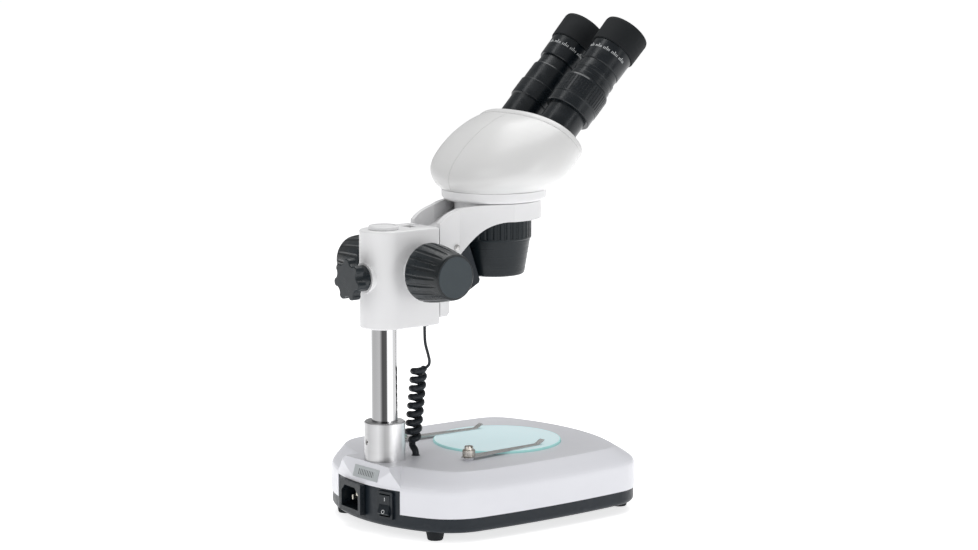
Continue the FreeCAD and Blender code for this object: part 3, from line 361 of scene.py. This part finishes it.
def frosted_glass():
    """Frosted stage plate: pale over the opening and deeper green in its ground edge, with a faint
    painted glow of its own.
    """
    # painted glow: the plate emits a little light of its own though it is no lamp
    f = Finish("frosted_glass", (0.74, 0.93, 0.95), 0.38, Transmission_Weight=0.05,
               Emission_Color=(0.75, 0.92, 0.96, 1.0), Emission_Strength=0.14)
    edge = f.spread(f.radius(PLATE_AT, (1, 0, 0), (0, 1, 0)), 0.0488, 0.0496)
    haze = f.mix(f.noise(28.0, 5.0), (0.72, 0.92, 0.95), (0.78, 0.94, 0.965))
    f.set("Base Color", f.mix(edge, haze, (0.32, 0.72, 0.68)))
    f.set("Roughness", f.spread(f.noise(500.0, 3.0), 0.3, 0.7, 0.3, 0.46))
    f.bump(f.noise(4200.0, 2.0), 0.00001, 0.4)
    return f.material


def coated_glass():
    """Lens glass with the violet and green cast of its coating."""
    f = Finish("coated_glass", (0.92, 0.95, 0.97), 0.03, Transmission_Weight=0.85, IOR=1.52)
    sheen = f.add("ShaderNodeLayerWeight")
    sheen.inputs["Blend"].default_value = 0.35
    f.set("Base Color", f.mix(sheen.outputs["Facing"], (0.70, 0.62, 0.92), (0.45, 0.80, 0.68)))
    f.set("Roughness", f.spread(f.noise(90.0, 4.0), 0.4, 0.8, 0.02, 0.09))
    return f.material


def label_foil():
    """Blank silver-grey label with a border and a row of plain bars."""
    f = Finish("label_foil", (0.50, 0.53, 0.54), 0.42, 0.25)
    low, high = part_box("rating_label")
    middle = (Vector(low) + Vector(high)) / 2
    across = f.along(middle, (1, 0, 0))
    up = f.along(middle, (0, -0.301, 0.954))
    side = f.math("ABSOLUTE", across)
    height = f.math("ABSOLUTE", up)
    bars = f.spread(f.math("SINE", f.math("MULTIPLY", across, 3000.0)), 0.2, 0.5)
    bars = f.math("MULTIPLY", bars, f.spread(side, 0.0098, 0.0099, 1.0, 0.0))
    bars = f.math("MULTIPLY", bars, f.spread(height, 0.0022, 0.0023, 1.0, 0.0))
    foil = f.mix(f.noise(160.0, 4.0), (0.44, 0.47, 0.48), (0.55, 0.58, 0.59))
    f.set("Base Color", f.mix(bars, foil, (0.06, 0.065, 0.07)))
    f.bump(f.noise(900.0, 3.0), 0.00001, 0.3)
    return f.material


def circuit_board():
    f = Finish("circuit_board", (0.03, 0.17, 0.07), 0.4)
    tracks = f.spread(f.noise(320.0, 1.0), 0.5, 0.52)
    f.set("Base Color", f.mix(tracks, (0.02, 0.13, 0.05), (0.05, 0.24, 0.10)))
    f.bump(tracks, 0.00003, 0.5)
    return f.material


def cord_jacket():
    """Satin jacket of the curly cord, slightly ribbed by its moulding."""
    f = Finish("cord_jacket", (0.007, 0.010, 0.014), 0.36, Specular_IOR_Level=0.35)
    f.set("Base Color", f.mix(f.noise(240.0, 5.0), (0.005, 0.008, 0.012), (0.012, 0.016, 0.021)))
    f.set("Roughness", f.spread(f.noise(500.0, 3.0), 0.3, 0.7, 0.28, 0.46))
    f.bump(f.noise(1400.0, 3.0), 0.00003, 0.4)
    return f.material


def marking_paint():
    """Off-white paint in engraved marks, a little uneven."""
    f = Finish("marking_paint", (0.78, 0.80, 0.80), 0.5)
    f.set("Base Color", f.mix(f.noise(900.0, 4.0), (0.62, 0.64, 0.65), (0.85, 0.87, 0.87)))
    f.bump(f.noise(3000.0, 2.0), 0.00002, 0.4)
    return f.material


FINISHES = {
    white_paint: ["focus_block", "arm", "head_ring", "pillar_cap"],
    cover_moulding: ["base_cover"],
    head_moulding: ["head_shell_left", "head_shell_right", "head_bezel"],
    black_moulding: ["base_tray", "lamp_housing", "pillar_bush", "block_cord_bush", "base_cord_bush"],
    device_plastic: ["inlet_body", "switch_frame", "switch_rocker"],
    knob_plastic: ["focus_knob_left", "focus_knob_right", "clamp_knob"],
    slate_cap: ["knob_caps"],
    black_anodised: ["turret_ring", "turret_body"],
    tube_anodised: ["eye_tube_left", "eye_tube_right", "dioptre_sleeve", "dioptre_ring",
                    "eyepiece_left", "eyepiece_right"],
    chromed_steel: ["pillar"],
    turned_aluminium: ["pillar_sleeve", "dovetail_slide"],
    brushed_steel: ["foot_screws", "pillar_bolt", "sleeve_set_screw", "focus_shaft", "focus_rack",
                    "arm_screws", "clamp_stud", "stage_clip_left", "stage_clip_right"],
    nickel_plate: ["clip_screw_left", "clip_screw_right"],
    plated_brass: ["inlet_pins", "focus_pinion"],
    frosted_glass: ["stage_plate"],
    coated_glass: ["lamp_lens", "objective_lenses", "prism_left", "prism_right",
                   "eyepiece_lenses_left", "eyepiece_lenses_right"],
    label_foil: ["rating_label"],
    circuit_board: ["lamp_board", "supply_board"],
}


def finish_nodes():
    for make, names in FINISHES.items():
        material = make()
        for name in names:
            mesh = NODES[name].data
            mesh.materials.clear()
            mesh.materials.append(material)
    for name, shade in (("rubber_feet", 0.008), ("eyecup_left", 0.007), ("eyecup_right", 0.007)):
        mesh = NODES[name].data
        mesh.materials.clear()
        mesh.materials.append(rubber("rubber_" + name, shade))


# ------------------------------------------------------------------ cord

LEAD_D, STRAND_D, CURL_D, COIL_TURNS = 0.0023, 0.0052, 0.0136, 8.6


def place(x, y, z):
    """A point given in millimetres about the pillar's axis, as the part's drawing has it."""
    return Vector((x * MM, y * MM + PILLAR_Y, z * MM))


CORD_EXIT = place(-13.5, -28.1, 154.0)
COIL_TOP, COIL_BOTTOM = place(-7.6, -27.2, 121.0), place(-0.5, -25.8, 62.5)
CORD_ENTRY = place(-4.5, -26.0, 53.21)
LEAD_BEND, STEPS_PER_TURN, CLOSING_TURNS = 0.012, 16, 0.7
COIL_DIR = (COIL_BOTTOM - COIL_TOP).normalized()
CURL_START = place(-10.7, -29.4, 120.6)
LEAD_ROUTE = [CORD_EXIT, CORD_EXIT - Z * 0.007, place(-13.5, -28.6, 140.0), place(-14.4, -31.0, 131.0),
              place(-14.6, -32.2, 125.5), place(-12.9, -31.4, 121.8), CURL_START]
TAIL_ROUTE = [COIL_BOTTOM, COIL_BOTTOM + COIL_DIR * 0.0032, place(-4.5, -26.0, 56.4), CORD_ENTRY]


def nurbs(name, points, radius=0.0):
    """Curve of one NURBS spline, in an object that isn't in the scene yet."""
    curve = bpy.data.curves.new(name, "CURVE")
    curve.dimensions = "3D"
    curve.bevel_depth = radius
    curve.bevel_resolution = 5
    curve.use_fill_caps = radius > 0
    spline = curve.splines.new("NURBS")
    spline.points.add(len(points) - 1)
    for point, at in zip(spline.points, points):
        point.co = (*at, 1.0)
    spline.order_u = 3
    spline.use_endpoint_u = True
    spline.resolution_u = 6
    return bpy.data.objects.new(name, curve)


def centre_line(name, points):
    mesh = bpy.data.meshes.new_from_object(nurbs(name, points))
    return [v.co.copy() for v in mesh.vertices]


def helix_about(start, end, radius, turns, first):
    """Points of a helix that starts beside a given point and ends on its axis."""
    axis = end - start
    side = (first - start - axis * (first - start).dot(axis) / axis.length_squared).normalized()
    other = axis.normalized().cross(side)
    points = []
    steps = round(turns * STEPS_PER_TURN)
    for k in range(1, steps):
        share = k / steps
        angle = 2 * math.pi * turns * share
        left = min(1.0, (1 - share) * turns / CLOSING_TURNS)
        opening = left * left * (3 - 2 * left)
        offset = side * math.cos(angle) + other * math.sin(angle)
        points.append(start + axis * share + offset * radius * opening)
    return points


def add_piece(name, mesh, material):
    obj = bpy.data.objects.new(name, mesh)
    bpy.context.scene.collection.objects.link(obj)
    mesh.materials.clear()
    mesh.materials.append(material)
    return obj


def cord_piece(name, points, diameter, material):
    mesh = bpy.data.meshes.new_from_object(nurbs(name, points, diameter / 2))
    for face in mesh.polygons:
        face.use_smooth = True
    return add_piece(name, mesh, material), centre_line(name + "_line", points)


def make_cord():
    """The curly cord: its curl stays with the base, and its lead is baked where it is drawn, on no
    body.
    """
    jacket = cord_jacket()
    lead, line = cord_piece("cord_lead_piece", LEAD_ROUTE, LEAD_D, jacket)
    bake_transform(lead)
    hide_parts("cord_lead")

    turns = helix_about(COIL_TOP, COIL_BOTTOM, (CURL_D - STRAND_D) / 2, COIL_TURNS, CURL_START)
    coil, line = cord_piece("cord_curl_piece", [CURL_START] + turns + TAIL_ROUTE, STRAND_D, jacket)
    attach(coil, "base")
    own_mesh(coil)
    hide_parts("cord_coil", "cord_tail")


# ----------------------------------------------------------------- marks

BAND_R, SCALE_FOOT, SCALE_MIDDLE_DEG, SCALE_STEP_DEG = 0.01706, -0.0085, 128, 4.2
LONG_TICK, SHORT_TICK, TICK_HALF_W, TICK_HALF_T = 0.0016, 0.0009, 0.00018, 0.00012
PANEL_OUT = Vector((-0.2038, 0.9790, 0))
PANEL_ALONG = Vector((0.9790, 0.2038, 0))
MARK_HEIGHT, BAR_HALF, RING_R, RING_STEPS = 0.0046, 0.0014, 0.0013, 20
STROKE_HALF, STROKE_HALF_T, RING_PIECE_HALF = 0.0002, 0.0001, 0.00022


def strip_mesh(name, boxes):
    """One mesh of small bars, each given by its centre, three axes and half sizes."""
    bm = bmesh.new()
    for centre, axes, half in boxes:
        made = bmesh.ops.create_cube(bm, size=2.0)["verts"]
        for v in made:
            v.co = centre + sum((a * h * c for a, h, c in zip(axes, half, v.co)), Vector())
    mesh = bpy.data.meshes.new(name)
    bm.to_mesh(mesh)
    bm.free()
    return mesh


def eyepiece_marks(side, body, material):
    """A plain engraved scale round the band under the eyecup, in place of its lettering."""
    bars = []
    for k in range(-15, 16):
        if k % 6 == 3:
            continue
        angle = math.radians(SCALE_MIDDLE_DEG + k * SCALE_STEP_DEG)
        out = X * math.cos(angle) + FACE_UP * math.sin(angle)
        round_it = EYE_AXIS.cross(out)
        reach = LONG_TICK if k % 3 == 0 else SHORT_TICK
        at = EYE_POINT + X * TUBE_X * side + EYE_AXIS * (SCALE_FOOT + reach) + out * BAND_R
        bars.append((at, (round_it, EYE_AXIS, out), (TICK_HALF_W, reach, TICK_HALF_T)))
    name = "eyepiece_marks_" + ("left" if side < 0 else "right")
    piece = add_piece(name, strip_mesh(name, bars), material)
    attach(piece, body)


def rocker_marks(material):
    """The plain bar and ring on the two halves of the mains switch."""
    rocker = NODES["switch_rocker"]
    low, high = (Vector(c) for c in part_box("switch_rocker"))
    middle = (low + high) / 2
    out = PANEL_OUT.normalized()
    sideways = PANEL_ALONG.normalized()
    tree = BVHTree.FromPolygons([v.co for v in rocker.data.vertices],
                                [p.vertices for p in rocker.data.polygons])
    bars = []
    for height, ring in ((MARK_HEIGHT, False), (-MARK_HEIGHT, True)):
        start = Vector((middle.x, middle.y, middle.z + height)) + out * 0.05
        at, normal, _, _ = tree.ray_cast(start, -out)
        up = normal.cross(sideways).normalized()
        if not ring:
            bars.append((at, (sideways, up, normal), (STROKE_HALF, BAR_HALF, STROKE_HALF_T)))
            continue
        for k in range(RING_STEPS):
            a = 2 * math.pi * k / RING_STEPS
            spoke = sideways * math.cos(a) + up * math.sin(a)
            bars.append((at + spoke * RING_R, (spoke, normal.cross(spoke), normal),
                         (STROKE_HALF, RING_PIECE_HALF, STROKE_HALF_T)))
    piece = add_piece("rocker_marks", strip_mesh("rocker_marks", bars), material)
    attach(piece, "rocker")


# ---------------------------------------------------------------- studio

CAMERA_AT = Vector((-1.8027, 1.42114, 0.5400))
CAMERA_DIR = Vector((0.7755, -0.6125, -0.1530))
LENS = 110.4
FLOOR_R = 14.0


def make_camera():
    data = bpy.data.cameras.new("camera")
    data.lens, data.sensor_width = LENS, 36.0
    camera = bpy.data.objects.new("camera", data)
    camera.location = CAMERA_AT
    camera.rotation_euler = CAMERA_DIR.to_track_quat("-Z", "Y").to_euler()
    bpy.context.scene.collection.objects.link(camera)
    bpy.context.scene.camera = camera


def make_floor():
    bm = bmesh.new()
    bmesh.ops.create_circle(bm, cap_ends=True, segments=96, radius=FLOOR_R)
    mesh = bpy.data.meshes.new("floor")
    bm.to_mesh(mesh)
    bm.free()
    f = Finish("floor_white", (0.86, 0.86, 0.87), 0.7, Emission_Color=(1, 1, 1, 1))
    f.set("Base Color", f.mix(f.noise(3.0, 3.0), (0.85, 0.85, 0.86), (0.87, 0.87, 0.88)))
    f.set("Emission Strength", 0.72)
    add_piece("floor", mesh, f.material)


def soft_light(name, at, target, size, power):
    data = bpy.data.lights.new(name, "AREA")
    data.shape, data.size, data.energy = "SQUARE", size, power
    light = bpy.data.objects.new(name, data)
    light.location = at
    light.rotation_euler = (Vector(target) - Vector(at)).to_track_quat("-Z", "Y").to_euler()
    bpy.context.scene.collection.objects.link(light)


def make_studio():
    """Soft pale surroundings, and three large soft lights."""
    world = bpy.data.worlds.new("studio")
    world.use_nodes = True
    bpy.context.scene.world = world
    background = world.node_tree.nodes["Background"]
    background.inputs["Color"].default_value = (1.0, 1.0, 1.0, 1.0)
    background.inputs["Strength"].default_value = 0.34
    target = (0, 0, 0.2)
    soft_light("key", (-0.2, 1.9, 1.2), target, 1.2, 6.5)
    soft_light("fill", (-2.4, -0.3, 0.6), target, 0.8, 6.5)
    soft_light("top", (0.25, -0.35, 1.7), target, 1.5, 20.0)
    bpy.context.scene.view_settings.view_transform = "Standard"


make_camera()
make_cord()
finish_nodes()
paint = marking_paint()
eyepiece_marks(-1, "ocular_left", paint)
eyepiece_marks(1, "ocular_right", paint)
rocker_marks(paint)
make_floor()
make_studio()
